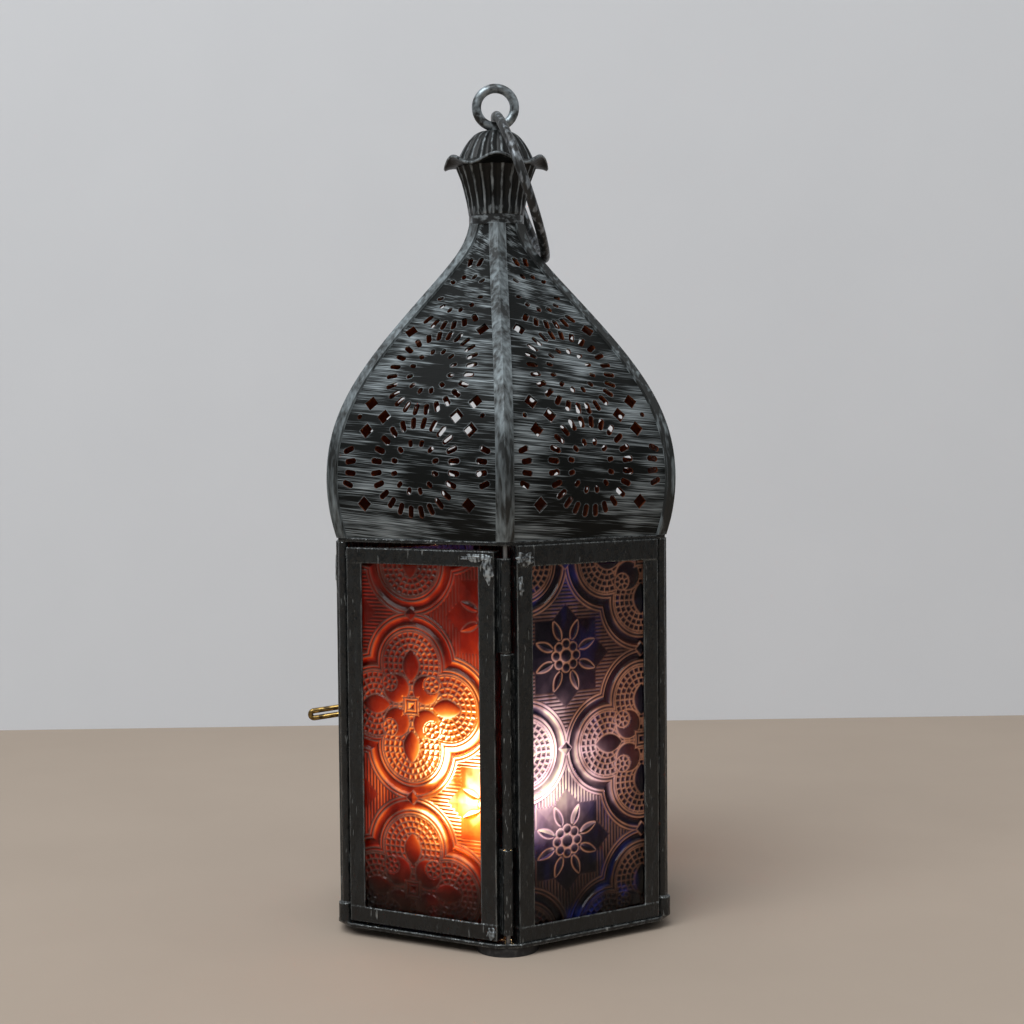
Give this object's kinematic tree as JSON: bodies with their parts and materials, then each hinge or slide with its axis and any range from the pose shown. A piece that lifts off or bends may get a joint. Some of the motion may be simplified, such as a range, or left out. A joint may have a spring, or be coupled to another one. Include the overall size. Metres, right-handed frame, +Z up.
{
  "type": "candle lantern",
  "caption": "Six-sided pierced-metal candle lantern with coloured pressed-glass panes, a hinged glazed door, a sliding latch, a ribbed onion dome and a carrying ring.",
  "frame": {"origin": "on the lantern's axis, in the plane of the undersides of its three feet", "axes": "+Z up along the lantern's axis, -Y towards the hinge corner that faces the viewer, +X to the viewer's right"},
  "size_m": [0.0982, 0.1062, 0.2291],
  "materials": {
    "dark_metal": "satin black",
    "dome_metal": "black, dry-brushed silver",
    "finial_metal": "black, rubbed silver",
    "inner_metal": "dull",
    "latch_brass": "polished",
    "amber_glass": "pressed",
    "cobalt_glass": "pressed",
    "ruby_glass": "pressed",
    "foot_rubber": "matt",
    "tealight_foil": "bright",
    "tealight_wax": "waxy",
    "tealight_wick": "charred"
  },
  "bodies": {
    "lantern": {"base_plate": "dark_metal", "candle_holder": "inner_metal", "corner_post_1": "dark_metal", "corner_post_2": "dark_metal", "corner_post_3": "dark_metal", "corner_post_4": "dark_metal", "corner_post_5": "dark_metal", "dome_gore_1": "dome_metal", "dome_gore_2": "dome_metal", "dome_gore_3": "dome_metal", "dome_gore_4": "dome_metal", "dome_gore_5": "dome_metal", "dome_gore_6": "dome_metal", "dome_rib_1": "dome_metal", "dome_rib_2": "dome_metal", "dome_rib_3": "dome_metal", "dome_rib_4": "dome_metal", "dome_rib_5": "dome_metal", "dome_rib_6": "dome_metal", "finial_cap": "finial_metal", "finial_cup": "finial_metal", "finial_eye": "finial_metal", "finial_nut": "inner_metal", "finial_rim": "finial_metal", "finial_washer": "inner_metal", "fixed_knuckle": "dark_metal", "foot_front": "foot_rubber", "foot_left": "foot_rubber", "foot_right": "foot_rubber", "hinge_pin": "inner_metal", "neck_collar": "finial_metal", "panel_frame_1": "dark_metal", "panel_frame_2": "dark_metal", "panel_frame_3": "dark_metal", "panel_frame_4": "dark_metal", "panel_frame_5": "dark_metal", "panel_glass_1": "cobalt_glass", "panel_glass_2": "ruby_glass", "panel_glass_3": "amber_glass", "panel_glass_4": "cobalt_glass", "panel_glass_5": "ruby_glass", "top_ring": "dark_metal"},
    "door": {"door_frame": "dark_metal", "door_glass": "amber_glass", "door_knuckle_low": "dark_metal", "door_knuckle_high": "dark_metal", "latch_keeper": "dark_metal"},
    "latch": {"latch_bolt": "latch_brass"},
    "carrying_ring": {"carry_ring": "finial_metal"},
    "tea_light": {"tealight_cup": "tealight_foil", "tealight_wax": "tealight_wax", "tealight_wick": "tealight_wick"}
  },
  "joints": [
    {"name": "door_hinge", "type": "hinge", "parent": "lantern", "child": "door", "pos_m": [0, -0.0484, 0.0533], "axis": [0, 0, 1], "range_deg": [0, 135]},
    {"name": "latch_slide", "type": "slide", "parent": "lantern", "child": "latch", "axis": [0.9903, 0, 0.1392], "range_m": [0, 0.0065]},
    {"name": "carrying_ring_swing", "type": "hinge", "parent": "lantern", "child": "carrying_ring", "pos_m": [0, 0, 0.22], "axis": [0, -1, 0], "range_deg": [0, 320]},
    {"name": "tea_light_lift", "type": "slide", "parent": "lantern", "child": "tea_light", "axis": [0, 0, 1], "range_m": [0, 0.02]}
  ]
}
